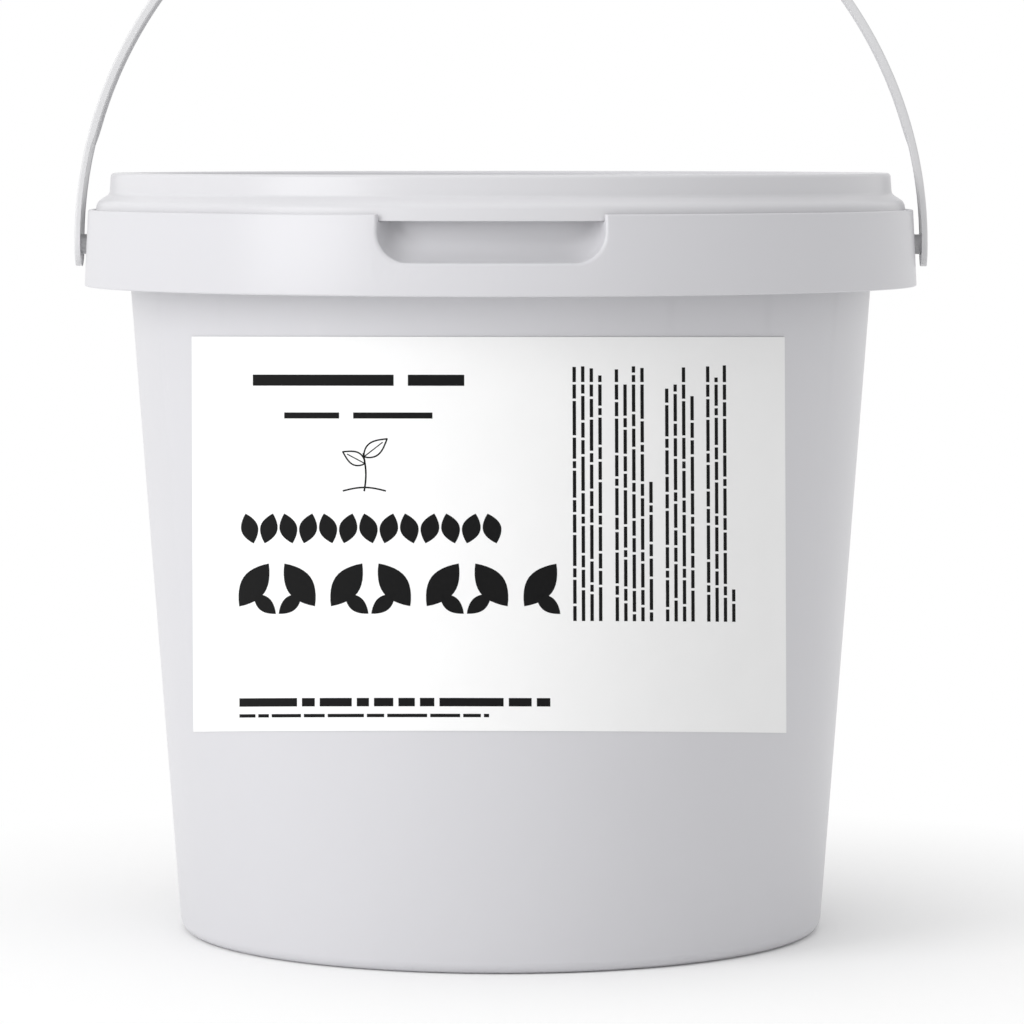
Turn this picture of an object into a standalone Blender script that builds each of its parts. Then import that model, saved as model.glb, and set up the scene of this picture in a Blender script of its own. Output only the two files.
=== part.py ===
"""A 5 litre plastic tub of potting compost with a press-on lid, a swinging handle and a paper label.

All lengths are metres. Z points up, the tub stands on z = 0 with its axis on the Z axis, the label and
the finger pocket face -Y, and the handle swings about a line parallel to X.
"""
import math

import bmesh
import bpy
from mathutils import Matrix, Vector

SEGMENTS = 64

# The tub wall: a cone that opens upwards, with a rim above the skirt that the lid closes over.
FLOOR_RADIUS = 0.08747
WALL_TAPER = 0.0745
WALL = 0.0014
RIM_HEIGHT = 0.2045
BEAD_DEPTH = 0.0014
BEAD_HEIGHT = 0.0012
BEAD_DROP = 0.0021

# The base: a recessed panel inside a standing ring.
BASE_WALL = 0.0015
FOOT_RECESS = 0.0025
FOOT_WIDTH = 0.0065
HEEL_RADIUS = 0.0034

# The skirt: a collar carried by a shelf round the wall, with a low upstand that guards the lid's edge.
SHELF_REACH = 0.00998
SKIRT_FLARE = 0.00106
SKIRT_HEIGHT = 0.02065
SKIRT_WALL = 0.0013
SHELF_DROP = 0.0100
UPSTAND = 0.0018
GUSSETS = 20
GUSSET_WALL = 0.0010
GUSSET_DEPTH = 0.0140
GUSSET_RAKE = 0.0050

# The finger pocket in the front of the skirt, under the lid's edge.
POCKET_WIDTH = 0.0584
POCKET_HEIGHT = 0.0121
POCKET_DEPTH = 0.0076
POCKET_CORNER = 0.0080
POCKET_SIDE = 0.0035
POCKET_LIP = 0.0009
POCKET_WALL = 0.0012

# The lid.
LID_WALL = 0.0012
LID_TOP = 0.0014
LID_RECESS = 0.0100
LID_PANEL = 0.0013
LID_STEP_RADIUS = 0.0780
LID_STEP_HEIGHT = 0.0015
RING_DRAFT = 0.0004
RING_HEIGHT = 0.0056
FLARE_HEIGHT = 0.0022
FIT = 0.0003
FLANGE_FIT = 0.0004

# The handle: a channel-section strap bent to a half circle, with a pin at each end.
PIVOT_DROP = 0.0095
STRAP_WIDTH = 0.0120
STRAP_WALL = 0.0015
STRAP_RIB_DEPTH = 0.00055
STRAP_RIB_LOW = 0.00015
STRAP_RIB_WIDTH = 0.0011
STRAP_RIB_START = 0.0300
STRAP_ROUND = 0.0005
SWING_CLEARANCE = 0.0002
PIN_RADIUS = 0.0027
PIN_HEAD_RADIUS = 0.0041
PIN_HEAD_LENGTH = 0.0016
PAD_RADIUS = 0.0060
PAD_DEPTH = 0.0012
STRAP_STEPS = 40

# The label: a sheet round the front of the wall, set out in front view, left edge to right edge.
LABEL_LEFT = -0.0800
LABEL_RIGHT = 0.0758
LABEL_BOTTOM = 0.0640
LABEL_HEIGHT = 0.1012
LABEL_THICKNESS = 0.00025
LABEL_GAP = 0.0003
LABEL_BOTTOM_BOW = 0.125
LABEL_TOP_BOW = 0.036

# The compost.
HEADSPACE = 0.0125
FILL_GAP = 0.0004
HEAP = 0.0025

# Heights and radii that follow from the sizes above.
SHELF_TOP = RIM_HEIGHT - SHELF_DROP
SKIRT_TOP = SHELF_TOP + UPSTAND
SKIRT_BOTTOM = SKIRT_TOP - SKIRT_HEIGHT
SKIRT_RADIUS = FLOOR_RADIUS + WALL_TAPER * SHELF_TOP + SHELF_REACH
PIVOT_HEIGHT = SKIRT_TOP - PIVOT_DROP
RING_TOP = RIM_HEIGHT + FIT + LID_TOP
PANEL_TOP = RING_TOP - LID_RECESS


def wall_radius(z):
    """Outer radius of the tub wall at height z."""
    return FLOOR_RADIUS + WALL_TAPER * z


def bore_radius(z):
    """Inner radius of the tub wall at height z."""
    return wall_radius(z) - WALL


def skirt_radius(z):
    """Outer radius of the skirt at height z."""
    return SKIRT_RADIUS + SKIRT_FLARE * (SKIRT_TOP - z) / SKIRT_HEIGHT


def rounded(corners):
    """A path through (r, z, fillet) corners, each corner with a fillet replaced by an arc. Small fillets
    are single chamfers."""
    path = []
    for i, (r, z, fillet) in enumerate(corners):
        here = Vector((r, z))
        if fillet == 0:
            path.append(here)
            continue
        before = Vector(corners[i - 1][:2]) - here
        after = Vector(corners[(i + 1) % len(corners)][:2]) - here
        half = before.angle(after) / 2
        reach = fillet / math.tan(half)
        middle = here + (before.normalized() + after.normalized()).normalized() * fillet / math.sin(half)
        start = here + before.normalized() * reach - middle
        turn = start.angle_signed(here + after.normalized() * reach - middle)
        steps = 1 if fillet < 0.001 else 2 if fillet < 0.002 else 4
        for step in range(steps + 1):
            angle = -turn * step / steps
            path.append(middle + Matrix.Rotation(angle, 2) @ start)
    return path


def make_object(name, bm, colour, roughness):
    """An object from a bmesh, shaded smooth across soft edges, with its own plain material."""
    bmesh.ops.recalc_face_normals(bm, faces=bm.faces)
    mesh = bpy.data.meshes.new(name)
    bm.to_mesh(mesh)
    bm.free()
    obj = bpy.data.objects.new(name, mesh)
    bpy.context.scene.collection.objects.link(obj)
    material = bpy.data.materials.new(name)
    material.use_nodes = True
    shader = material.node_tree.nodes["Principled BSDF"]
    shader.inputs["Base Color"].default_value = (*colour, 1)
    shader.inputs["Roughness"].default_value = roughness
    shader.inputs["Metallic"].default_value = 0
    mesh.materials.append(material)
    smooth(mesh)
    return obj


def smooth(mesh):
    """Smooth shading that keeps the corners crisp."""
    mesh.shade_smooth()
    mesh.set_sharp_from_angle(angle=math.radians(32))


def turned(path, segments=SEGMENTS):
    """The solid swept round the Z axis by a path of (r, z) points that starts and ends on that axis."""
    bm = bmesh.new()
    verts = [bm.verts.new((r, 0, z)) for r, z in path]
    edges = [bm.edges.new(pair) for pair in zip(verts, verts[1:])]
    bmesh.ops.spin(
        bm,
        geom=verts + edges,
        cent=(0, 0, 0),
        axis=(0, 0, 1),
        angle=math.tau,
        steps=segments,
        use_merge=True,
    )
    bmesh.ops.remove_doubles(bm, verts=bm.verts, dist=1e-6)
    return bm


def add_loft(bm, rings, curved_ends=False):
    """Skin a row of equal rings of points, with a cap on each end. A curved end is a ladder of faces, whose
    rungs join the first point to the last, the second to the last but one, and so on."""
    verts = [bm.verts.new(point) for point in rings[0]]
    edges = [bm.edges.new(pair) for pair in zip(verts, verts[1:] + verts[:1])]
    add_cap(bm, verts, curved_ends)
    for ring in rings[1:]:
        made = bmesh.ops.extrude_edge_only(bm, edges=edges)
        fresh = {item for item in made["geom"] if isinstance(item, bmesh.types.BMVert)}
        verts = [next(e.other_vert(v) for e in v.link_edges if e.other_vert(v) in fresh) for v in verts]
        edges = [bm.edges.get(pair) for pair in zip(verts, verts[1:] + verts[:1])]
        for vert, point in zip(verts, ring):
            vert.co = point
    add_cap(bm, verts, curved_ends)


def add_cap(bm, verts, curved):
    """Close a ring of verts with one face, or with a ladder of faces if it is curved."""
    if not curved:
        bm.faces.new(verts)
        return
    for i in range(len(verts) // 2 - 1):
        bm.faces.new((verts[i], verts[i + 1], verts[-2 - i], verts[-1 - i]))


def apply_boolean(obj, tool, operation):
    """Cut a tool out of an object, or fuse it on, and throw the tool away."""
    modifier = obj.modifiers.new(operation.title(), "BOOLEAN")
    modifier.operation = operation
    modifier.object = tool
    depsgraph = bpy.context.evaluated_depsgraph_get()
    old_mesh = obj.data
    obj.data = bpy.data.meshes.new_from_object(obj.evaluated_get(depsgraph))
    obj.data.name = old_mesh.name
    obj.modifiers.clear()
    bpy.data.meshes.remove(old_mesh)
    bpy.data.objects.remove(tool)
    smooth(obj.data)


def tub_profile():
    """Half section of the tub: underside, heel, wall, skirt, rim, and down the inside."""
    foot = FLOOR_RADIUS - FOOT_WIDTH
    groove = foot + BASE_WALL
    shelf_under = SHELF_TOP - SKIRT_WALL
    bead_top = RIM_HEIGHT - BEAD_DROP
    bead_under = bead_top - BEAD_HEIGHT
    bead = wall_radius(bead_top) + BEAD_DEPTH
    return rounded([
        (0, FOOT_RECESS, 0),
        (foot - FOOT_RECESS / 2, FOOT_RECESS, 0.0008),
        (foot, 0, 0.0005),
        (FLOOR_RADIUS, 0, HEEL_RADIUS),
        (wall_radius(shelf_under), shelf_under, 0.0010),
        (skirt_radius(shelf_under) - SKIRT_WALL, shelf_under, 0.0008),
        (skirt_radius(SKIRT_BOTTOM) - SKIRT_WALL, SKIRT_BOTTOM, 0.0004),
        (skirt_radius(SKIRT_BOTTOM), SKIRT_BOTTOM, 0.0005),
        (SKIRT_RADIUS, SKIRT_TOP, 0.0005),
        (SKIRT_RADIUS - SKIRT_WALL, SKIRT_TOP, 0.0004),
        (SKIRT_RADIUS - SKIRT_WALL, SHELF_TOP, 0),
        (wall_radius(SHELF_TOP), SHELF_TOP, 0),
        (wall_radius(bead_under - BEAD_DEPTH), bead_under - BEAD_DEPTH, 0),
        (bead, bead_under, 0.0005),
        (bead, bead_top, 0.0005),
        (bead - BEAD_DEPTH * 0.8, RIM_HEIGHT, 0.0005),
        (bore_radius(RIM_HEIGHT), RIM_HEIGHT, 0.0004),
        (bore_radius(BASE_WALL), BASE_WALL, (HEEL_RADIUS - WALL) * 0.95),
        (groove, BASE_WALL, 0.0007),
        (groove - FOOT_RECESS / 2, FOOT_RECESS + BASE_WALL, 0.0008),
        (0, FOOT_RECESS + BASE_WALL, 0),
    ])


def pocket_ring(turn, cover, top):
    """One outline of the finger pocket, on a cone inside the skirt. A turn of 0 is at the skirt's face,
    a turn of a quarter circle is at the pocket's back, and cover grows the outline by a wall."""
    half = POCKET_WIDTH / 2 - POCKET_SIDE * (1 - math.cos(turn)) + cover * math.cos(turn)
    depth = POCKET_LIP + (POCKET_DEPTH - POCKET_LIP) * math.sin(turn) + cover * math.sin(turn)
    floor = SKIRT_TOP - POCKET_HEIGHT
    rise = (SHELF_TOP - SKIRT_WALL - floor) * 0.92
    low = floor + rise * (1 - math.cos(turn)) - cover * math.cos(turn)
    return outline_on_skirt(half, low, top, depth)


def outline_on_skirt(half, low, top, depth):
    """A panel's outline with rounded lower corners, wrapped round the front at a depth behind the skirt's
    face: along the lower edge, then back along the top."""
    corner = min(POCKET_CORNER, (top - low) * 0.9)
    left = []
    for step in range(6):
        angle = math.pi / 2 * step / 5
        left.append((-half + corner * (1 - math.cos(angle)), low + corner * (1 - math.sin(angle))))
    flat = left + [(x, low) for x in (-half / 3, 0, half / 3)] + [(-x, z) for x, z in reversed(left)]
    flat += [(x, top) for x, z in reversed(flat)]
    ring = []
    for x, z in flat:
        angle = x / SKIRT_RADIUS
        radius = skirt_radius(z) - depth
        ring.append((radius * math.sin(angle), -radius * math.cos(angle), z))
    return ring


def build_tub():
    tub = make_object("tub", turned(tub_profile()), (0.80, 0.80, 0.82), 0.30)
    turns = [math.pi / 2 * step / 6 for step in range(7)]

    # The back of the finger pocket is a shell inside the skirt. Its edges end inside the skirt and shelf.
    shell = bmesh.new()
    inside_shelf = SHELF_TOP - SKIRT_WALL / 2
    rings = [pocket_ring(turn, POCKET_WALL, inside_shelf) for turn in turns]
    add_loft(shell, rings, curved_ends=True)
    apply_boolean(tub, make_object("pocket_shell", shell, (1, 1, 1), 1), "UNION")

    # Gussets tie the skirt to the wall, all round except behind the pocket.
    gussets = bmesh.new()
    low = SHELF_TOP - SKIRT_WALL - GUSSET_DEPTH
    inner = wall_radius(low) - WALL / 2
    outer = skirt_radius(low) - SKIRT_WALL / 2
    section = [
        (wall_radius(inside_shelf) - WALL / 2, inside_shelf),
        (inner, low),
        (outer, low + GUSSET_RAKE),
        (skirt_radius(inside_shelf) - SKIRT_WALL / 2, inside_shelf),
    ]
    for i in range(GUSSETS):
        angle = math.tau * (i + 0.5) / GUSSETS
        if angle < 0.3 or angle > math.tau - 0.3:
            continue
        spoke = Matrix.Rotation(angle - math.pi / 2, 4, "Z")
        sides = []
        for side in (-GUSSET_WALL / 2, GUSSET_WALL / 2):
            sides.append([spoke @ Vector((r, side, z)) for r, z in section])
        add_loft(gussets, sides)
    apply_boolean(tub, make_object("gussets", gussets, (1, 1, 1), 1), "UNION")

    # A round pad thickens the skirt behind each pin hole.
    for side in (-1, 1):
        face = skirt_radius(PIVOT_HEIGHT) - SKIRT_WALL - PAD_DEPTH
        apply_boolean(tub, round_bar("pad", side, face, face + PAD_DEPTH + SKIRT_WALL / 2, PAD_RADIUS), "UNION")

    # The pocket itself, with a rounded lip where it meets the skirt's face.
    pocket = bmesh.new()
    above = SKIRT_TOP + UPSTAND
    half = POCKET_WIDTH / 2
    floor = SKIRT_TOP - POCKET_HEIGHT
    rings = [outline_on_skirt(half + POCKET_LIP, floor - POCKET_LIP, above, -POCKET_LIP)]
    for step in range(3):
        angle = math.pi / 2 * step / 3
        grow = POCKET_LIP * (1 - math.sin(angle))
        rings.append(outline_on_skirt(half + grow, floor - grow, above, POCKET_LIP * (1 - math.cos(angle))))
    rings += [pocket_ring(turn, 0, above) for turn in turns]
    add_loft(pocket, rings, curved_ends=True)
    apply_boolean(tub, make_object("pocket", pocket, (1, 1, 1), 1), "DIFFERENCE")

    # The pin holes.
    for side in (-1, 1):
        face = skirt_radius(PIVOT_HEIGHT)
        hole = round_bar("hole", side, face - 0.006, face + 0.003, PIN_RADIUS + FIT)
        apply_boolean(tub, hole, "DIFFERENCE")
    return tub


def round_bar(name, side, near, far, radius, sides=24):
    """A cylinder along X between two distances from the axis, at the height of the pins."""
    bm = bmesh.new()
    place = Matrix.Translation((side * (near + far) / 2, 0, PIVOT_HEIGHT)) @ Matrix.Rotation(math.pi / 2, 4, "Y")
    bmesh.ops.create_cone(
        bm, cap_ends=True, segments=sides, radius1=radius, radius2=radius, depth=far - near, matrix=place
    )
    return make_object(name, bm, (1, 1, 1), 1)


def lid_profile():
    """Half section of the lid: the panel from its centre, up the plug, over the ring, out to the flange's
    edge, and back along the underside."""
    plug_top = bore_radius(RIM_HEIGHT) - FIT
    panel_under = PANEL_TOP - LID_PANEL
    plug_low = bore_radius(panel_under) - FIT
    bead_under = RIM_HEIGHT - BEAD_DROP - BEAD_HEIGHT
    bead = wall_radius(RIM_HEIGHT - BEAD_DROP) + BEAD_DEPTH
    ring_bore = bead + 2 * FIT
    ring = ring_bore + LID_WALL
    shoulder = RING_TOP - RING_HEIGHT
    edge = SKIRT_RADIUS - SKIRT_WALL - FLANGE_FIT
    brow = edge - 0.0008
    edge_low = SHELF_TOP + FIT
    channel_top = RING_TOP - LID_TOP
    return rounded([
        (0, PANEL_TOP + LID_STEP_HEIGHT, 0),
        (LID_STEP_RADIUS, PANEL_TOP + LID_STEP_HEIGHT, 0.0008),
        (LID_STEP_RADIUS + LID_STEP_HEIGHT, PANEL_TOP, 0.0008),
        (plug_low - LID_WALL, PANEL_TOP, 0.0014),
        (plug_top - LID_WALL, RING_TOP, 0.0010),
        (ring, RING_TOP, 0.0011),
        (ring + RING_DRAFT, shoulder, 0.0013),
        (brow, shoulder - FLARE_HEIGHT, 0.0018),
        (edge, edge_low, 0.0003),
        (edge - LID_WALL, edge_low, 0.0003),
        (brow - LID_WALL * 0.8, shoulder - FLARE_HEIGHT - LID_WALL * 0.9, 0.0008),
        (bead + FIT, bead_under - LID_WALL, 0.0003),
        (bead + FIT, bead_under - LID_WALL / 2, 0),
        (ring_bore, bead_under, 0),
        (ring_bore, channel_top, 0),
        (plug_top, channel_top, 0),
        (plug_low, panel_under, 0.0018),
        (LID_STEP_RADIUS + LID_STEP_HEIGHT - LID_PANEL / 2, panel_under, 0.0008),
        (LID_STEP_RADIUS - LID_PANEL / 2, panel_under + LID_STEP_HEIGHT, 0.0008),
        (0, panel_under + LID_STEP_HEIGHT, 0),
    ])


def build_lid():
    return make_object("lid", turned(lid_profile()), (0.82, 0.82, 0.84), 0.28)


def build_handle():
    """The strap is skinned over sections from one rounded tab, over the half circle, to the other."""
    reach = PIVOT_HEIGHT - SKIRT_BOTTOM
    rib_inner = math.hypot(skirt_radius(SKIRT_BOTTOM) + SWING_CLEARANCE, reach)
    web_inner = rib_inner + STRAP_RIB_DEPTH
    outer = web_inner + STRAP_WALL
    half = STRAP_WIDTH / 2

    def section(width, rib_depth):
        rib = web_inner - rib_depth
        edge = width * STRAP_ROUND / half
        wide = width * STRAP_RIB_WIDTH / half
        right = [
            (outer, width - edge),
            (outer - STRAP_ROUND, width),
            (rib, width),
            (rib, width - wide),
            (web_inner, width - wide * 1.3),
        ]
        return right + [(distance, -across) for distance, across in reversed(right)]

    stations = []
    for step in range(7):
        angle = math.radians(84) * (1 - step / 6)
        width = half * math.cos(angle)
        drop = half * math.sin(angle)
        stations.append(("tab", drop, section(width, STRAP_RIB_LOW)))
    for step in range(1, STRAP_STEPS // 2 + 1):
        angle = math.pi / 2 * step / (STRAP_STEPS // 2)
        ribbed = outer * math.sin(angle) > STRAP_RIB_START
        stations.append(("arc", angle, section(half, STRAP_RIB_DEPTH if ribbed else STRAP_RIB_LOW)))

    rings = []
    for side in (-1, 1):
        row = []
        for kind, place, shape in stations:
            if kind == "tab":
                row.append([(side * distance, across, PIVOT_HEIGHT - place) for distance, across in shape])
                continue
            row.append([
                (side * distance * math.cos(place), across, PIVOT_HEIGHT + distance * math.sin(place))
                for distance, across in shape
            ])
        rings.append(row)
    strap = bmesh.new()
    add_loft(strap, rings[0] + rings[1][-2::-1])
    handle = make_object("handle", strap, (0.84, 0.84, 0.85), 0.32)

    # Each pin reaches from the tab through the skirt's hole to a wider head behind the pad.
    face = skirt_radius(PIVOT_HEIGHT) - SKIRT_WALL - PAD_DEPTH - FIT
    for side in (-1, 1):
        neck = round_bar("neck", side, face - PIN_HEAD_LENGTH / 2, web_inner + STRAP_WALL / 2, PIN_RADIUS)
        head = round_bar("head", side, face - PIN_HEAD_LENGTH, face, PIN_HEAD_RADIUS)
        apply_boolean(neck, head, "UNION")
        apply_boolean(handle, neck, "UNION")

    # The handle's origin is the middle of its swing axis.
    handle.data.transform(Matrix.Translation((0, 0, -PIVOT_HEIGHT)))
    handle.location = (0, 0, PIVOT_HEIGHT)
    return handle


def build_label():
    """A sheet on the wall. Its side edges are upright in front view, and its top and bottom edges bow
    down a little towards the sides, so that from the front it reads as a plain rectangle."""
    columns = 26
    rows = 3
    bm = bmesh.new()
    grid = []
    for row in range(rows + 1):
        rise = row / rows
        line = []
        for column in range(columns + 1):
            x = LABEL_LEFT + (LABEL_RIGHT - LABEL_LEFT) * column / columns
            z = LABEL_BOTTOM + LABEL_HEIGHT * rise
            radius = wall_radius(z) + LABEL_GAP
            back = radius - math.sqrt(radius**2 - x**2)
            z -= back * (LABEL_BOTTOM_BOW + (LABEL_TOP_BOW - LABEL_BOTTOM_BOW) * rise)
            radius = wall_radius(z) + LABEL_GAP
            angle = math.asin(x / radius)
            line.append((radius, angle, z))
        grid.append(line)
    layers = []
    for lift in (0, LABEL_THICKNESS):
        layer = []
        for line in grid:
            layer.append([
                bm.verts.new(((r + lift) * math.sin(a), -(r + lift) * math.cos(a), z)) for r, a, z in line
            ])
        layers.append(layer)
    for layer in layers:
        for lower, upper in zip(layer, layer[1:]):
            for i in range(columns):
                bm.faces.new((lower[i], lower[i + 1], upper[i + 1], upper[i]))
    edges = [edge for edge in bm.edges if edge.is_boundary]
    bmesh.ops.bridge_loops(bm, edges=edges)
    return make_object("label", bm, (0.95, 0.95, 0.95), 0.6)


def build_compost():
    """The fill: it follows the bore and the base, with an uneven top under the lid."""
    low = FOOT_RECESS + BASE_WALL + FIT
    top = PANEL_TOP - LID_PANEL - HEADSPACE - HEAP
    wide = bore_radius(top) - FILL_GAP
    path = [Vector((0, low)), Vector((bore_radius(low) - FILL_GAP, low)), Vector((wide, top))]
    rings = 8
    for i in range(1, rings):
        r = wide * (1 - i / rings)
        path.append(Vector((r, top + HEAP * 0.6 * (1 - (r / wide) ** 2))))
    path.append(Vector((0, top + HEAP * 0.6)))
    bm = turned(path, SEGMENTS // 2)
    for vert in bm.verts:
        x, y, z = vert.co
        inside = 1 - math.hypot(x, y) / wide
        if z > top - 1e-6:
            wave = math.sin(x * 96 + 1.3) * math.cos(y * 118 - 0.4) + math.sin(x * 41 - y * 67)
            vert.co.z += HEAP * 0.18 * wave * min(1, inside * 6)
    return make_object("compost", bm, (0.035, 0.022, 0.014), 0.95)


for obj in list(bpy.data.objects):
    bpy.data.objects.remove(obj)
build_tub()
build_lid()
build_handle()
build_label()
build_compost()
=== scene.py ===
import math

import bmesh
import bpy
from mathutils import Matrix, Vector, noise


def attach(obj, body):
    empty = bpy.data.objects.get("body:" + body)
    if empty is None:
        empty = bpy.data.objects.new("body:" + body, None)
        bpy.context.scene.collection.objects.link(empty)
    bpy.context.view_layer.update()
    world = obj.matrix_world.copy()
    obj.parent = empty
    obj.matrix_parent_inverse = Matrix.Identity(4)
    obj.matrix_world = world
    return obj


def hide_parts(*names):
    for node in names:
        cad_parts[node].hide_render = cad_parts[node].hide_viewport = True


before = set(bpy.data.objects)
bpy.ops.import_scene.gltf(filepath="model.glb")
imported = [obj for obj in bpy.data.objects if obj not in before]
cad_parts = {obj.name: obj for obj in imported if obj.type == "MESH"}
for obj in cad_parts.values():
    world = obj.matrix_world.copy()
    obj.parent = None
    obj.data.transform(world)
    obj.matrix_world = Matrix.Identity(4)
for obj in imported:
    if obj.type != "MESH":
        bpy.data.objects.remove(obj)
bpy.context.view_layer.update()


# The tub is one moulding of white polypropylene. It is shot through its base into a tapered wall, with a
# shelf below the rim that carries the hanging skirt, and it comes off the core by its draft.

floor_radius = 0.08747
wall_draft = 0.0745
wall_thickness = 0.0014
base_thickness = 0.0015
base_recess = 0.0025
standing_ring = 0.0065
heel_round = 0.00316
foot_slope = 0.00125
bore_round = 0.0018
rim_height = 0.2045
bead_foot = 0.1998
bead_under = 0.2012
bead_top = 0.2024
bead_depth = 0.0014
bead_lead = 0.2
shelf_top = 0.1945
skirt_top = 0.1963
skirt_low = 0.17565
skirt_radius = 0.11194
skirt_flare = 0.00106 / 0.02065
skirt_thickness = 0.0013
pin_height = 0.1868


def wall_at(z):
    """The wall's outer radius at a height."""
    return floor_radius + wall_draft * z


def skirt_at(z):
    """The skirt's outer radius at a height."""
    return skirt_radius + skirt_flare * (skirt_top - z)


def turn(corners, steps=240):
    """A solid turned round the tub's axis.

    Its corners are (radius, height, rounding), and the first and last lie on the axis.
    """
    bm = bmesh.new()
    verts = [bm.verts.new((radius, 0, height)) for radius, height, rounding in corners]
    for pair in zip(verts, verts[1:]):
        bm.edges.new(pair)
    for vert, (radius, height, rounding) in zip(verts, corners):
        if rounding:
            bmesh.ops.bevel(
                bm, geom=[vert], affect="VERTICES", offset=rounding, offset_type="OFFSET",
                segments=5, profile=0.5, material=-1,
            )
    bmesh.ops.spin(
        bm, geom=bm.verts[:] + bm.edges[:], cent=(0, 0, 0), axis=(0, 0, 1),
        angle=math.tau, steps=steps, use_merge=True,
    )
    bmesh.ops.remove_doubles(bm, verts=bm.verts, dist=1e-6)
    bmesh.ops.recalc_face_normals(bm, faces=bm.faces)
    return bm


crisp_corner = math.radians(30)


def moulding(name, bm):
    """An object from a finished shape, smooth over its curves and crisp at its corners."""
    mesh = bpy.data.meshes.new(name)
    bm.to_mesh(mesh)
    bm.free()
    mesh.shade_smooth()
    mesh.set_sharp_from_angle(angle=crisp_corner)
    piece = bpy.data.objects.new(name, mesh)
    bpy.context.scene.collection.objects.link(piece)
    return piece


def weld(piece, tool, how):
    """Joins a tool to a piece, or cuts it out of it, and clears the tool away."""
    step = piece.modifiers.new(how.title(), "BOOLEAN")
    step.operation = how
    step.object = tool
    scene_now = bpy.context.evaluated_depsgraph_get()
    result = bpy.data.meshes.new_from_object(piece.evaluated_get(scene_now))
    piece.modifiers.clear()
    piece.data = result
    bpy.data.objects.remove(tool)
    result.shade_smooth()
    result.set_sharp_from_angle(angle=crisp_corner)


def skin(bm, loops, curved_ends=False):
    """Draws the first closed loop of points out through the rest, and caps its two ends.

    A curved end is capped by strips from one side of its loop to the other, a flat one by one face.
    """
    verts = [bm.verts.new(point) for point in loops[0]]
    edges = [bm.edges.new(pair) for pair in zip(verts, verts[1:] + verts[:1])]
    ends = [verts]
    for loop in loops[1:]:
        made = bmesh.ops.extrude_edge_only(bm, edges=edges)
        fresh = {item for item in made["geom"] if isinstance(item, bmesh.types.BMVert)}
        verts = [
            next(edge.other_vert(vert) for edge in vert.link_edges if edge.other_vert(vert) in fresh)
            for vert in verts
        ]
        edges = [bm.edges.get(pair) for pair in zip(verts, verts[1:] + verts[:1])]
        for vert, point in zip(verts, loop):
            vert.co = point
    ends.append(verts)
    for verts in ends:
        if curved_ends:
            for i in range(len(verts) // 2 - 1):
                bm.faces.new((verts[i], verts[i + 1], verts[-2 - i], verts[-1 - i]))
        else:
            bm.faces.new(verts)
    bmesh.ops.recalc_face_normals(bm, faces=bm.faces)


foot = floor_radius - standing_ring
shelf_under = shelf_top - skirt_thickness
tub = moulding("tub_moulding", turn([
    (0, base_recess, 0),
    (foot - foot_slope, base_recess, 0.0006),
    (foot, 0, 0.0004),
    (floor_radius, 0, heel_round),
    (wall_at(shelf_under), shelf_under, 0.0009),
    (skirt_at(shelf_under) - skirt_thickness, shelf_under, 0.0007),
    (skirt_at(skirt_low) - skirt_thickness, skirt_low, 0.0004),
    (skirt_at(skirt_low), skirt_low, 0.0005),
    (skirt_radius, skirt_top, 0.0005),
    (skirt_radius - skirt_thickness, skirt_top, 0.0004),
    (skirt_radius - skirt_thickness, shelf_top, 0.0002),
    (wall_at(shelf_top), shelf_top, 0.0003),
    (wall_at(bead_foot), bead_foot, 0.0004),
    (wall_at(bead_top) + bead_depth, bead_under, 0.0004),
    (wall_at(bead_top) + bead_depth, bead_top, 0.0004),
    (wall_at(bead_top) + bead_depth * bead_lead, rim_height, 0.0005),
    (wall_at(rim_height) - wall_thickness, rim_height, 0.0004),
    (wall_at(base_thickness) - wall_thickness, base_thickness, bore_round),
    (foot + base_thickness, base_thickness, 0.0006),
    (foot + base_thickness - foot_slope, base_recess + base_thickness, 0.0006),
    (0, base_recess + base_thickness, 0),
]))

# The finger pocket is scooped out of the skirt's front under the lid's edge. The mould carries a core for
# it, so its floor and sides are coved and the wall behind it keeps the skirt's thickness.

pocket_half = 0.0292
pocket_low = skirt_top - 0.0121
pocket_depth = 0.0076
pocket_corner = 0.0080
pocket_lip = 0.0009
pocket_side = 0.0035
pocket_wall = 0.0012
pocket_rise = (shelf_under - pocket_low) * 0.92
pocket_roof = shelf_top - skirt_thickness / 2
scoop_steps = 14
lip_steps = 6


def pocket_outline(half, low, top, depth):
    """A panel with round lower corners, bent to the skirt's cone at a depth behind its face."""
    corner = min(pocket_corner, (top - low) * 0.9)
    left = []
    for i in range(13):
        angle = math.pi / 2 * i / 12
        left.append((-half + corner * (1 - math.cos(angle)), low + corner * (1 - math.sin(angle))))
    middle = [((half - corner) * i / 8, low) for i in range(-7, 8)]
    lower = left + middle + [(-x, z) for x, z in reversed(left)]
    loop = []
    for x, z in lower + [(x, top) for x, z in reversed(lower)]:
        angle = x / skirt_radius
        radius = skirt_at(z) - depth
        loop.append((radius * math.sin(angle), -radius * math.cos(angle), z))
    return loop


def scoop(angle, cover, top):
    """One outline of the scoop, from its mouth at 0 to its back at a quarter turn, grown by a cover."""
    half = pocket_half - pocket_side * (1 - math.cos(angle)) + cover * math.cos(angle)
    depth = pocket_lip + (pocket_depth - pocket_lip) * math.sin(angle) + cover * math.sin(angle)
    low = pocket_low + pocket_rise * (1 - math.cos(angle)) - cover * math.cos(angle)
    return pocket_outline(half, low, top, depth)


scoop_angles = [math.pi / 2 * i / scoop_steps for i in range(scoop_steps + 1)]
shell = bmesh.new()
skin(shell, [scoop(angle, pocket_wall, pocket_roof) for angle in scoop_angles], curved_ends=True)
weld(tub, moulding("pocket_shell", shell), "UNION")

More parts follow.
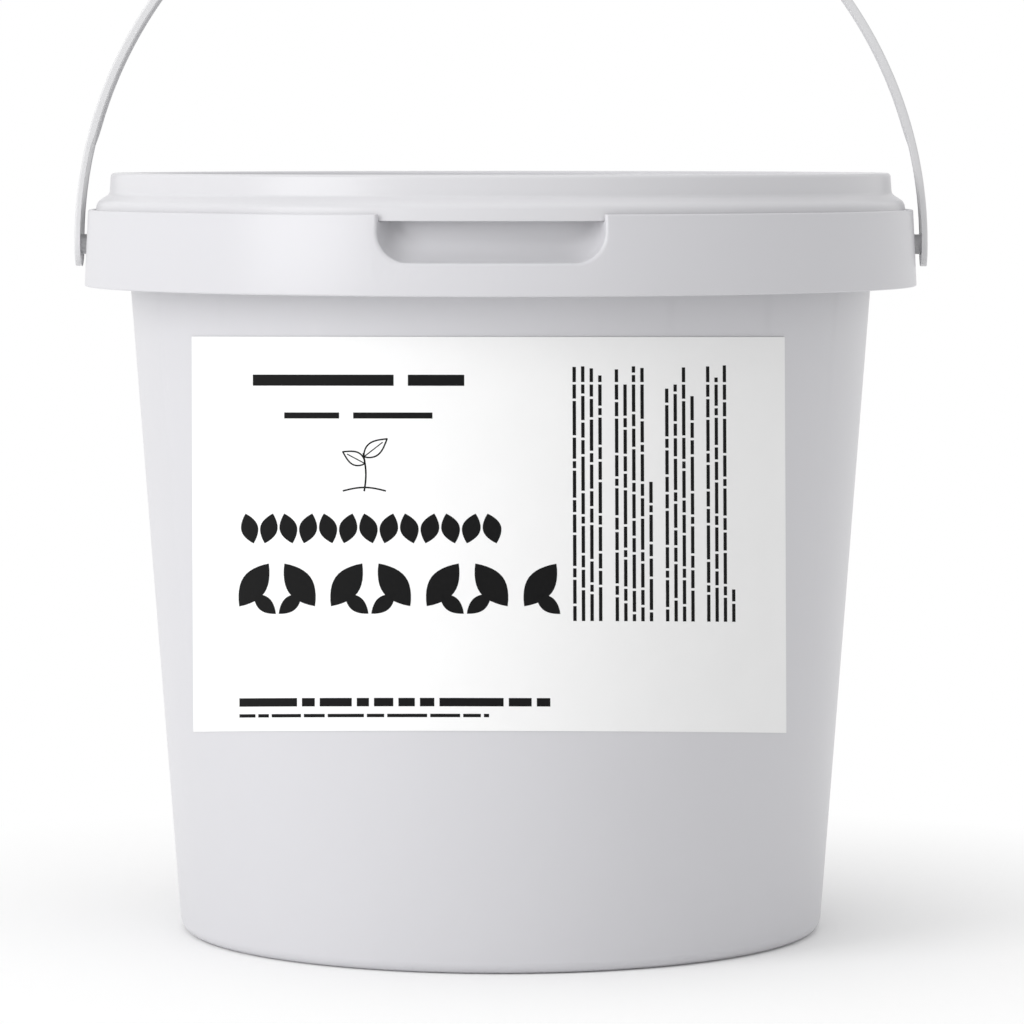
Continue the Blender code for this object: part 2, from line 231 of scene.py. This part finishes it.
# Gussets tie the skirt to the wall behind it, and a round pad thickens it at each pin hole. They are of one
# piece with the tub, and the two gussets that the pocket would cut are left out.

gusset_places = 20
gusset_half = 0.0005
web_top = shelf_top - skirt_thickness / 2
web_height = 0.0140
web_low = shelf_under - web_height
web_slope = 0.0050
web = [
    (wall_at(web_top) - wall_thickness / 2, web_top),
    (wall_at(web_low) - wall_thickness / 2, web_low),
    (skirt_at(web_low) - skirt_thickness / 2, web_low + web_slope),
    (skirt_at(web_top) - skirt_thickness / 2, web_top),
]
gussets = bmesh.new()
for i in range(1, gusset_places - 1):
    round_axis = Matrix.Rotation(math.tau * (i + 0.5) / gusset_places - math.pi / 2, 4, "Z")
    faces = [[round_axis @ Vector((r, side, z)) for r, z in web] for side in (-gusset_half, gusset_half)]
    skin(gussets, faces)
weld(tub, moulding("gussets", gussets), "UNION")

pad_radius = 0.0060
pad_depth = 0.0012
hole_radius = 0.0030


def bar(name, near, far, radius):
    """A round bar along X between two distances from the axis, at the pins' height."""
    bm = bmesh.new()
    place = Matrix.Translation(((near + far) / 2, 0, pin_height)) @ Matrix.Rotation(math.pi / 2, 4, "Y")
    bmesh.ops.create_cone(
        bm, cap_ends=True, segments=64, radius1=radius, radius2=radius, depth=abs(far - near),
        matrix=place,
    )
    return moulding(name, bm)


pad_face = skirt_at(pin_height) - skirt_thickness - pad_depth
pad_root = pad_face + pad_depth + skirt_thickness / 2
for side in (-1, 1):
    weld(tub, bar("pad", side * pad_face, side * pad_root, pad_radius), "UNION")

core_overrun = 0.0018
core = bmesh.new()
above = skirt_top + core_overrun
mouth = [pocket_outline(pocket_half + pocket_lip, pocket_low - pocket_lip, above, -pocket_lip)]
for i in range(lip_steps):
    angle = math.pi / 2 * i / lip_steps
    grow = pocket_lip * (1 - math.sin(angle))
    depth = pocket_lip * (1 - math.cos(angle))
    mouth.append(pocket_outline(pocket_half + grow, pocket_low - grow, above, depth))
skin(core, mouth + [scoop(angle, 0, above) for angle in scoop_angles], curved_ends=True)
weld(tub, moulding("pocket_core", core), "DIFFERENCE")

drill_in = skirt_at(pin_height) - 0.006
drill_out = skirt_at(pin_height) + 0.003
for side in (-1, 1):
    weld(tub, bar("hole", side * drill_in, side * drill_out, hole_radius), "DIFFERENCE")


# All three mouldings are white polypropylene. It is satin and cool, with the faint clouds of its flow, the
# fine grain and slow swell of a moulded surface, and hairline scuffs from handling.

class Wire:
    """A socket in a material. Sums of wires and numbers add Math nodes, and node adds any other."""

    def __init__(self, tree, socket=None):
        self.tree = tree
        self.socket = socket

    def node(self, kind, settings, sockets, output=0):
        made = self.tree.nodes.new(kind)
        for name, value in settings.items():
            if name == "stops":
                while len(made.color_ramp.elements) < len(value):
                    made.color_ramp.elements.new(0.5)
                for element, (place, colour) in zip(made.color_ramp.elements, value):
                    element.position = place
                    element.color = colour
            else:
                setattr(made, name, value)
        for name, value in sockets.items():
            if isinstance(value, Wire):
                self.tree.links.new(value.socket, made.inputs[name])
            else:
                made.inputs[name].default_value = value
        return Wire(self.tree, made.outputs[output])

    def sum(self, operation, first, second):
        return self.node("ShaderNodeMath", {"operation": operation}, {0: first, 1: second})

    def __add__(self, other):
        return self.sum("ADD", self, other)

    def __radd__(self, other):
        return self.sum("ADD", other, self)

    def __sub__(self, other):
        return self.sum("SUBTRACT", self, other)

    def __rsub__(self, other):
        return self.sum("SUBTRACT", other, self)

    def __mul__(self, other):
        return self.sum("MULTIPLY", self, other)

    def __rmul__(self, other):
        return self.sum("MULTIPLY", other, self)


def new_finish(name):
    """An empty material, its starting wire, its object coordinates and a call that sets its shader."""
    finish = bpy.data.materials.new(name)
    finish.use_nodes = True
    tree = finish.node_tree
    shader = tree.nodes["Principled BSDF"]
    start = Wire(tree)
    place = start.node("ShaderNodeTexCoord", {}, {}, output=3)

    def set_shader(sockets):
        for socket, value in sockets.items():
            if isinstance(value, Wire):
                tree.links.new(value.socket, shader.inputs[socket])
            else:
                shader.inputs[socket].default_value = value

    return finish, start, place, set_shader


def blend(start, factor, first, second):
    """One colour over another, by a factor."""
    return start.node("ShaderNodeMix", {"data_type": "RGBA"}, {0: factor, 6: first, 7: second}, output=2)


def polypropylene(name, tone, roughness):
    """White polypropylene in one tone, with flow clouds, faint handling scuffs and a fine grain."""
    finish, start, place, set_shader = new_finish(name)
    clouds = start.node("ShaderNodeTexNoise", {}, {"Vector": place, "Scale": 14, "Detail": 3})
    grain = start.node("ShaderNodeTexNoise", {}, {"Vector": place, "Scale": 1400, "Detail": 2})
    swell = start.node("ShaderNodeTexNoise", {}, {"Vector": place, "Scale": 55, "Detail": 1})
    stretched = start.node(
        "ShaderNodeMapping", {}, {"Vector": place, "Scale": (45, 1300, 700), "Rotation": (0.3, 0.2, 0.6)}
    )
    scuffs = start.node("ShaderNodeTexNoise", {}, {"Vector": stretched, "Scale": 1, "Detail": 2})
    scuffed = start.node("ShaderNodeMapRange", {}, {"Value": scuffs, "From Min": 0.6, "From Max": 0.8})
    light = tuple(min(1, c * 1.015) for c in tone) + (1,)
    dark = tuple(c * 0.975 for c in tone) + (1,)
    fine = start.node("ShaderNodeBump", {}, {"Strength": 0.05, "Distance": 0.00001, "Height": grain})
    both = start.node(
        "ShaderNodeBump", {}, {"Strength": 0.35, "Distance": 0.0002, "Height": swell, "Normal": fine}
    )
    set_shader({
        "Base Color": blend(start, clouds, dark, light),
        "Roughness": roughness + 0.07 * clouds + 0.08 * scuffed,
        "Normal": both,
        "IOR": 1.49,
    })
    return finish


tub.data.materials.clear()
tub.data.materials.append(polypropylene("white_polypropylene", (0.615, 0.612, 0.637), 0.28))
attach(tub, "tub_body")
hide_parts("tub")


# The compost fills the tub to a finger below the lid. It is damp, dark and crumbly, with lighter fibres and
# chips of bark, and it lies as it was shovelled in. The seed keeps its crumbs the same in each run.

fill_top = 0.1804
fill_base = 0.0043
fill_clear = 0.0005
fill_sides = 320
fill_rings = 100
edge_sink = 0.0012
lowest_crumb = -0.003
highest_crumb = 0.0014
lump_height = 0.0014
crumb_height = 0.0011
crumb_seed = 7
noise.seed_set(crumb_seed)
heel_top = 0.0045
fill_top_radius = wall_at(fill_top) - wall_thickness - fill_clear
fill_base_radius = wall_at(heel_top) - wall_thickness - fill_clear
fill = bmesh.new()
bmesh.ops.create_circle(fill, cap_ends=False, segments=fill_sides, radius=fill_base_radius)
bmesh.ops.translate(fill, verts=fill.verts, vec=(0, 0, fill_base))
rim = fill.edges[:]
bmesh.ops.edgeloop_fill(fill, edges=rim)
wall = bmesh.ops.extrude_edge_only(fill, edges=rim)
top_verts = [item for item in wall["geom"] if isinstance(item, bmesh.types.BMVert)]
top_edges = [item for item in wall["geom"] if isinstance(item, bmesh.types.BMEdge)]
for vert in top_verts:
    vert.co.z = fill_top - edge_sink
    vert.co.xy = vert.co.xy.normalized() * fill_top_radius
for ring in range(1, fill_rings):
    made = bmesh.ops.extrude_edge_only(fill, edges=top_edges)
    top_edges = [item for item in made["geom"] if isinstance(item, bmesh.types.BMEdge)]
    for vert in [item for item in made["geom"] if isinstance(item, bmesh.types.BMVert)]:
        vert.co.xy = vert.co.xy.normalized() * fill_top_radius * (1 - ring / fill_rings)
        vert.co.z = fill_top
bmesh.ops.edgeloop_fill(fill, edges=top_edges)
for vert in fill.verts:
    if vert.co.z < fill_top - 1e-5:
        continue
    spot = Vector((vert.co.x, vert.co.y, 0))
    crumb = noise.cell(spot * 420 + noise.noise_vector(spot * 300) * 0.6) - 0.5
    broad = noise.noise(spot * 45) * lump_height
    small = noise.noise(spot * 210) * lump_height
    vert.co.z += max(lowest_crumb, min(highest_crumb, broad + small + crumb * crumb_height))
bmesh.ops.recalc_face_normals(fill, faces=fill.faces)
compost = moulding("compost_fill", fill)

finish, start, place, set_shader = new_finish("damp_compost")
crumbs = start.node("ShaderNodeTexVoronoi", {}, {"Vector": place, "Scale": 420, "Randomness": 1})
fibre_place = start.node(
    "ShaderNodeMapping", {}, {"Vector": place, "Scale": (90, 900, 400), "Rotation": (0, 0, 0.8)}
)
fibres = start.node(
    "ShaderNodeTexNoise", {}, {"Vector": fibre_place, "Scale": 1, "Detail": 3, "Distortion": 1.2}
)
soil = start.node("ShaderNodeTexNoise", {}, {"Vector": place, "Scale": 120, "Detail": 8, "Roughness": 0.7})
earth_tones = [
    (0.3, (0.010, 0.006, 0.004, 1)),
    (0.6, (0.035, 0.021, 0.012, 1)),
    (0.85, (0.09, 0.055, 0.03, 1)),
]
earth = start.node("ShaderNodeValToRGB", {"stops": earth_tones}, {"Fac": soil})
straw = start.node("ShaderNodeMapRange", {}, {"Value": fibres, "From Min": 0.64, "From Max": 0.7})
coarse = start.node("ShaderNodeBump", {}, {"Strength": 0.8, "Distance": 0.0012, "Height": crumbs + soil})
set_shader({
    "Base Color": blend(start, straw * 0.7, earth, (0.16, 0.10, 0.05, 1)),
    "Roughness": 0.82 + 0.15 * soil,
    "Normal": coarse,
})
compost.data.materials.append(finish)
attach(compost, "tub_body")
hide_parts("compost")


# The label is one sheet of white, lightly coated adhesive paper. It is stuck round the front of the wall,
# with square corners and clean cut edges.

label_left = -0.0800
label_right = 0.0758
label_low = 0.0640
label_height = 0.1012
label_gap = 0.00006
label_thickness = 0.00025
label_foot_width = 1.0068
label_taper = 0.0168
label_foot_bow = 0.125
label_bow_change = 0.089
label_cuts = (128, 60)


def on_wall(across, up, lift):
    """A point of the flat label, each measure 0 to 1, laid on the wall with a lift off it.

    The sheet narrows a little towards its top and bows down towards its sides, so that from straight
    ahead and just above it reads as a rectangle.
    """
    x = (label_left + (label_right - label_left) * across) * (label_foot_width - label_taper * up)
    z = label_low + label_height * up
    radius = wall_at(z) + label_gap
    z -= (radius - math.sqrt(radius**2 - x**2)) * (label_foot_bow - label_bow_change * up)
    radius = wall_at(z) + label_gap
    angle = math.asin(x / radius)
    return Vector(((radius + lift) * math.sin(angle), -(radius + lift) * math.cos(angle), z))


sheet = bmesh.new()
bmesh.ops.create_grid(sheet, x_segments=label_cuts[0], y_segments=label_cuts[1], size=0.5)
made = bmesh.ops.extrude_face_region(sheet, geom=sheet.faces[:])
outer = {item for item in made["geom"] if isinstance(item, bmesh.types.BMVert)}
for vert in sheet.verts:
    vert.co = on_wall(vert.co.x + 0.5, vert.co.y + 0.5, label_thickness if vert in outer else 0)
bmesh.ops.recalc_face_normals(sheet, faces=sheet.faces)
label = moulding("label_sheet", sheet)

finish, start, place, set_shader = new_finish("label_paper")
pulp = start.node("ShaderNodeTexNoise", {}, {"Vector": place, "Scale": 2200, "Detail": 4, "Roughness": 0.6})
flock = start.node("ShaderNodeTexNoise", {}, {"Vector": place, "Scale": 90, "Detail": 2})
tooth = start.node("ShaderNodeBump", {}, {"Strength": 0.3, "Distance": 0.00004, "Height": pulp})
set_shader({
    "Base Color": blend(start, flock, (0.86, 0.86, 0.86, 1), (0.885, 0.885, 0.885, 1)),
    "Roughness": 0.52 + 0.1 * pulp,
    "Normal": tooth,
    "Specular IOR Level": 0.25,
})
label.data.materials.append(finish)
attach(label, "tub_body")
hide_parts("label")


# The print is one pass of black ink on the label: bars, a row of seeds, a row of leaves, turned columns of
# dashes, and a sprout with two leaves. It is set out on the flat label in units of about a quarter of a
# millimetre, across from its left edge and down from its top.

ink = bmesh.new()
ink_lift = label_thickness + 0.00003
print_width = 592
print_height = 394


def lay(points, face_detail=6.0):
    """A patch of ink with that flat outline, cut fine enough to follow the wall."""
    outline = bmesh.new()
    outline.faces.new([outline.verts.new((x, y, 0)) for x, y in points])
    lowest = min(x for x, y in points)
    highest = max(x for x, y in points)
    cut = lowest + face_detail
    while cut < highest:
        everything = outline.verts[:] + outline.edges[:] + outline.faces[:]
        bmesh.ops.bisect_plane(
            outline, geom=everything, plane_co=(cut, 0, 0), plane_no=(1, 0, 0), dist=1e-4
        )
        cut += face_detail
    for face in outline.faces:
        spots = [(vert.co.x / print_width, 1 - vert.co.y / print_height) for vert in face.verts]
        ink.faces.new([ink.verts.new(on_wall(across, up, ink_lift)) for across, up in spots])
    outline.free()


def dash(left, top, right, low):
    """A square-cornered patch."""
    lay([(left, low), (right, low), (right, top), (left, top)])


def bar_line(left, right, middle, height, lengths, gap):
    """A level line of bars of uneven length."""
    x = left
    i = 0
    while x < right - gap:
        end = min(x + lengths[i % len(lengths)], right)
        dash(x, middle - height / 2, end, middle + height / 2)
        x = end + gap
        i += 1


def dash_column(top, low, middle, width, lengths, gap):
    """The same line turned upright, from its low end."""
    y = low
    i = 0
    while y > top + gap:
        end = max(y - lengths[i % len(lengths)], top)
        dash(middle - width / 2, end, middle + width / 2, y)
        y = end - gap
        i += 1


bar_line(66, 208, 43, 11, (142,), 6)
bar_line(222, 277, 43, 11, (55,), 6)
bar_line(98.5, 154, 78, 6, (56,), 6)
bar_line(168, 246, 78, 6, (78,), 6)


def seed(middle_x, middle_y, angle, length, width, steps=12):
    """A solid pointed oval, as a seed or a leaf blade."""
    c, s = math.cos(angle), math.sin(angle)
    points = []
    for side in (-1, 1):
        for i in range(steps):
            along = length * (i / steps - 0.5) * side
            across = side * width / 2 * math.sin(math.pi * i / steps) ** 0.9
            points.append((middle_x + along * c - across * s, middle_y + along * s + across * c))
    lay(points)


seed_count = 13
seed_pitch = 20.1
seed_lean = 16
for i in range(seed_count):
    lean = seed_lean if i % 2 else -seed_lean
    seed(62.5 + i * seed_pitch, 190.5, math.radians(-90 + lean), 31, 18)

leaf_count = 7
for i in range(leaf_count):
    lean = -1 if i % 2 else 1
    seed(67 + i * 47.2, 247, math.radians(90 + 36 * lean), 53, 27)
    seed(68 + i * 46.6 + 10 * lean, 266, math.radians(90 - 50 * lean), 31, 15)

bar_line(51.5, 359.5, 365, 8.5, (60, 13, 32, 12, 19, 16, 14, 62, 22), 5)
bar_line(51.5, 300.5, 378.5, 3.4, (17, 11, 30, 21, 36, 17, 39, 29), 3)

# Each group of dash columns is given by the place of its first column and the tops of all of them.

dash_lengths = (15, 24, 9, 31, 18, 12, 27, 7, 21, 34, 14)
dash_groups = (
    (383.5, (26, 29, 31, 38)),
    (424.5, (32, 46, 29, 30, 140)),
    (473.5, (51, 44, 30, 56)),
    (514.0, (29, 40, 28, 247)),
)
column_low = 283
column_pitch = 8.3
column_width = 3.3
column_gap = 2.4
shift = 0
for first, tops in dash_groups:
    for i, top in enumerate(tops):
        lengths = dash_lengths[shift:] + dash_lengths[:shift]
        dash_column(top, column_low, first + i * column_pitch, column_width, lengths, column_gap)
        shift = (shift + 3) % len(dash_lengths)


def stroke(points, width):
    """A line of ink along points."""
    for (x0, y0), (x1, y1) in zip(points, points[1:]):
        along = Vector((x1 - x0, y1 - y0)).normalized() * width / 2
        side = Vector((-along.y, along.x))
        start_at = Vector((x0, y0)) - along * 0.5
        end_at = Vector((x1, y1)) + along * 0.5
        corners = [start_at - side, end_at - side, end_at + side, start_at + side]
        lay([(corner.x, corner.y) for corner in corners])


def leaf(foot_x, foot_y, angle, length, width):
    """A leaf in outline with its middle vein."""
    def at(along, across):
        c, s = math.cos(angle), math.sin(angle)
        return foot_x + along * c - across * s, foot_y + along * s + across * c
    for side in (-1, 1):
        shares = [i / 14 for i in range(15)]
        edge = [at(length * t, side * width * math.sin(math.pi * t ** 0.8)) for t in shares]
        stroke(edge, edge_ink)
    stroke([at(0, 0), at(length * 0.8, 0)], vein_ink)


edge_ink = 1.5
vein_ink = 1.1
stem_ink = 1.7
ground_ink = 1.6
stem = [(179 + 1.6 * math.sin(i / 3), 153 - i * 3.4) for i in range(12)]
stroke(stem, stem_ink)
leaf(*stem[8], math.radians(-152), 25, 6.5)
leaf(*stem[10], math.radians(-38), 29, 7)
stroke([(158 + i * 3, 153 - 3.4 * math.sin(math.pi * i / 14)) for i in range(15)], ground_ink)
bmesh.ops.recalc_face_normals(ink, faces=ink.faces)
for face in ink.faces:
    middle = face.calc_center_median()
    if face.normal.dot(Vector((middle.x, middle.y, 0))) < 0:
        face.normal_flip()
label_print = moulding("label_print", ink)

finish, start, place, set_shader = new_finish("black_ink")
density = start.node("ShaderNodeTexNoise", {}, {"Vector": place, "Scale": 900, "Detail": 3})
set_shader({
    "Base Color": blend(start, density, (0.003, 0.003, 0.0035, 1), (0.008, 0.008, 0.008, 1)),
    "Roughness": 0.55 + 0.15 * density,
    "Specular IOR Level": 0.12,
})
label_print.data.materials.append(finish)
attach(label_print, "tub_body")


# The lid is a second moulding of the same plastic: a panel sunk inside a hollow ring that presses over the
# rim, and a flange round it that ends just above the skirt's shelf. Its panel steps up a little inside.

ring_top = 0.2062
ring_roof = 0.2048
ring_wall = 0.0012
panel_top = 0.1962
panel_under = 0.1949
panel_step = 0.0015
panel_rise_out = 0.0795
panel_rise_in = 0.0780
panel_back = 0.00065
plug_wall = 0.0012
plug_round = 0.0017
bead_seat = 0.2000
bead_seat_top = 0.2006
flange_low = 0.19457
slide_fit = 0.0003
ring_fit = 0.0006
edge_fit = 0.0004
ring_height = 0.0056
plug_top = wall_at(rim_height) - wall_thickness - slide_fit
plug_low = wall_at(panel_under) - wall_thickness - slide_fit
seat_radius = wall_at(bead_top) + bead_depth + slide_fit
ring_bore = wall_at(bead_top) + bead_depth + ring_fit
ring_outer = ring_bore + ring_wall
shoulder = ring_top - ring_height
edge_outer = skirt_radius - skirt_thickness - edge_fit
brow = edge_outer - 0.0008
lid = moulding("lid_moulding", turn([
    (0, panel_top + panel_step, 0),
    (panel_rise_in, panel_top + panel_step, 0.0005),
    (panel_rise_out, panel_top, 0.0005),
    (plug_low - plug_wall, panel_top, 0.0013),
    (plug_top - plug_wall, ring_top, 0.0009),
    (ring_outer, ring_top, 0.0010),
    (ring_outer + 0.0004, shoulder, 0.0007),
    (brow, shoulder - 0.0022, 0.0009),
    (edge_outer, flange_low, 0.0003),
    (edge_outer - ring_wall, flange_low, 0.0003),
    (brow - 0.00096, shoulder - 0.00328, 0.0005),
    (seat_radius, bead_seat, 0.0002),
    (seat_radius, bead_seat_top, 0.0001),
    (ring_bore, bead_under, 0.0002),
    (ring_bore, ring_roof, 0.0002),
    (plug_top, ring_roof, 0.0002),
    (plug_low, panel_under, plug_round),
    (panel_rise_out - panel_back, panel_under, 0.0005),
    (panel_rise_in - panel_back, panel_under + panel_step, 0.0005),
    (0, panel_under + panel_step, 0),
]))
lid.data.materials.append(polypropylene("lid_polypropylene", (0.625, 0.622, 0.643), 0.27))
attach(lid, "lid_body")
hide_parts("lid")


# The handle is a third moulding: a strap with a rib along each edge. It is straight when it is shot, and
# springs into a half circle when its two pins are pushed through the skirt.

strap_thickness = 0.0015
strap_clear = 0.0002
rib_high = 0.00055
rib_low = 0.00015
strap_outer = (
    math.hypot(skirt_at(skirt_low) + strap_clear, pin_height - skirt_low) + rib_high + strap_thickness
)
strap_web = strap_outer - strap_thickness
strap_half = 0.0060
round_over = 0.0005


def strap_section(width, rib):
    """The strap's section at a half width, as points of (distance from the pins' middle, across)."""
    scale = width / strap_half
    right = []
    for i in range(5):
        angle = math.pi / 2 * i / 4
        right.append((
            strap_outer - round_over * (1 - math.cos(angle)),
            width - (round_over - round_over * math.sin(angle)) * scale,
        ))
    right += [
        (strap_web - rib + 0.0001, width),
        (strap_web - rib, width - 0.00012 * scale),
        (strap_web - rib, width - 0.0010 * scale),
        (strap_web - rib + 0.0001, width - 0.0011 * scale),
        (strap_web, width - 0.0014 * scale),
    ]
    return right + [(distance, -across) for distance, across in reversed(right)]


tab_steps = 14
bend_steps = 60
rib_start = 0.0290
rib_run = 0.0012
half_strap = []
for i in range(tab_steps + 1):
    angle = math.radians(86) * (1 - i / tab_steps)
    section = strap_section(strap_half * math.cos(angle), rib_low)
    half_strap.append((0, strap_half * math.sin(angle), section))
for i in range(1, bend_steps + 1):
    angle = math.pi / 2 * i / bend_steps
    climb = (strap_outer * math.sin(angle) - rib_start) / rib_run
    rib = rib_low + (rib_high - rib_low) * min(max(climb, 0), 1)
    half_strap.append((angle, 0, strap_section(strap_half, rib)))


def bent(side):
    """The loops of one half of the strap, from its tab up to the top."""
    loops = []
    for angle, drop, section in half_strap:
        loops.append([
            (side * distance * math.cos(angle), across, pin_height + distance * math.sin(angle) - drop)
            for distance, across in section
        ])
    return loops


strap = bmesh.new()
skin(strap, bent(-1) + bent(1)[-2::-1])
handle = moulding("handle_moulding", strap)
neck_radius = 0.0027
head_radius = 0.0041
head_thickness = 0.0016
pin_face = pad_face - slide_fit
neck_in = pin_face - head_thickness / 2
neck_out = strap_web + strap_thickness / 2
for side in (-1, 1):
    weld(handle, bar("neck", side * neck_in, side * neck_out, neck_radius), "UNION")
    weld(handle, bar("head", side * (pin_face - head_thickness), side * pin_face, head_radius), "UNION")
handle.data.materials.clear()
handle.data.materials.append(polypropylene("handle_polypropylene", (0.66, 0.66, 0.67), 0.30))
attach(handle, "handle_body")
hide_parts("handle")


# The floor is a white table that runs out of sight. Close round the tub it takes its shadow, and farther
# out it fades to the plain white of the background.

table_half = 30
fade_start = 0.08
fade_end = 0.26


def plain_background(start):
    """1 for the rays that show the background plain white: the camera's, a reflection's and glass's."""
    rays = start.node("ShaderNodeLightPath", {}, {})
    outputs = rays.socket.node.outputs
    for name in ("Is Glossy Ray", "Is Transmission Ray"):
        rays = start.sum("MAXIMUM", rays, Wire(start.tree, outputs[name]))
    return rays


ground = bmesh.new()
bmesh.ops.create_grid(ground, x_segments=1, y_segments=1, size=table_half)
floor = moulding("floor", ground)
finish, start, place, set_shader = new_finish("white_table")
tree = finish.node_tree
set_shader({"Base Color": (0.97, 0.97, 0.97, 1), "Roughness": 0.9, "Specular IOR Level": 0.1})
glow = start.node("ShaderNodeEmission", {}, {"Color": (1, 1, 1, 1), "Strength": 1})
from_tub = start.node("ShaderNodeVectorMath", {"operation": "LENGTH"}, {0: place}, output=1)
far_off = start.node(
    "ShaderNodeMapRange", {}, {"Value": from_tub, "From Min": fade_start, "From Max": fade_end}
)
mixed = start.node("ShaderNodeMixShader", {}, {0: far_off * plain_background(start)})
mixer = mixed.socket.node
tree.links.new(tree.nodes["Principled BSDF"].outputs[0], mixer.inputs[1])
tree.links.new(glow.socket, mixer.inputs[2])
tree.links.new(mixer.outputs[0], tree.nodes["Material Output"].inputs["Surface"])
floor.data.materials.append(finish)


# The light is a tall soft box at the left, a weak one high in front and a wide one overhead, all turned to
# the tub's middle, in a pale room that fills the rest. To the camera and in gloss the room is pure white.

def soft_box(name, place, aim, width, height, power):
    """A rectangular lamp at a place, turned to an aim."""
    lamp = bpy.data.lights.new(name, "AREA")
    lamp.shape = "RECTANGLE"
    lamp.size = width
    lamp.size_y = height
    lamp.energy = power
    light = bpy.data.objects.new(name, lamp)
    light.location = place
    light.rotation_euler = (Vector(aim) - Vector(place)).to_track_quat("-Z", "Y").to_euler()
    bpy.context.scene.collection.objects.link(light)
    return light


tub_middle = (0, 0, 0.12)
soft_box("left_box", (-1.10, -0.84, 0.60), tub_middle, 0.80, 1.20, 9.6)
soft_box("front_box", (0, -0.92, 1.43), tub_middle, 1.00, 0.60, 1.2)
soft_box("top_box", (0, 0, 1.9), tub_middle, 1.40, 1.40, 5.2)

world = bpy.data.worlds.new("pale_room")
world.use_nodes = True
bpy.context.scene.world = world
room = Wire(world.node_tree)
background = world.node_tree.nodes["Background"]
room_level = 0.70
level = room_level + (1 - room_level) * plain_background(room)
world.node_tree.links.new(level.socket, background.inputs["Strength"])
background.inputs["Color"].default_value = (1, 1, 1, 1)

# The camera stands 1.4 m in front of the tub, just above its lid, and looks down a little. It has a long
# lens, and its aim is a few pixels to one side of the tub's axis.

picture_width = 1024
sensor_width = 36
lens_in_pixels = 5159.8
aside_in_pixels = 11.3
turned_by = math.radians(1.27)
looks_down = 4.0586
stand_off = 1.40696
eye_height = 0.21347
camera = bpy.data.objects.new("camera", bpy.data.cameras.new("camera"))
camera.data.lens = lens_in_pixels / picture_width * sensor_width
camera.data.sensor_width = sensor_width
camera.data.clip_start = 0.05
camera.data.clip_end = 100
camera.location = (stand_off * math.sin(turned_by), -stand_off * math.cos(turned_by), eye_height)
camera.rotation_euler = (
    math.radians(90 - looks_down), 0, turned_by - math.atan(aside_in_pixels / lens_in_pixels)
)
bpy.context.scene.collection.objects.link(camera)
bpy.context.scene.camera = camera
bpy.context.scene.view_settings.view_transform = "Standard"
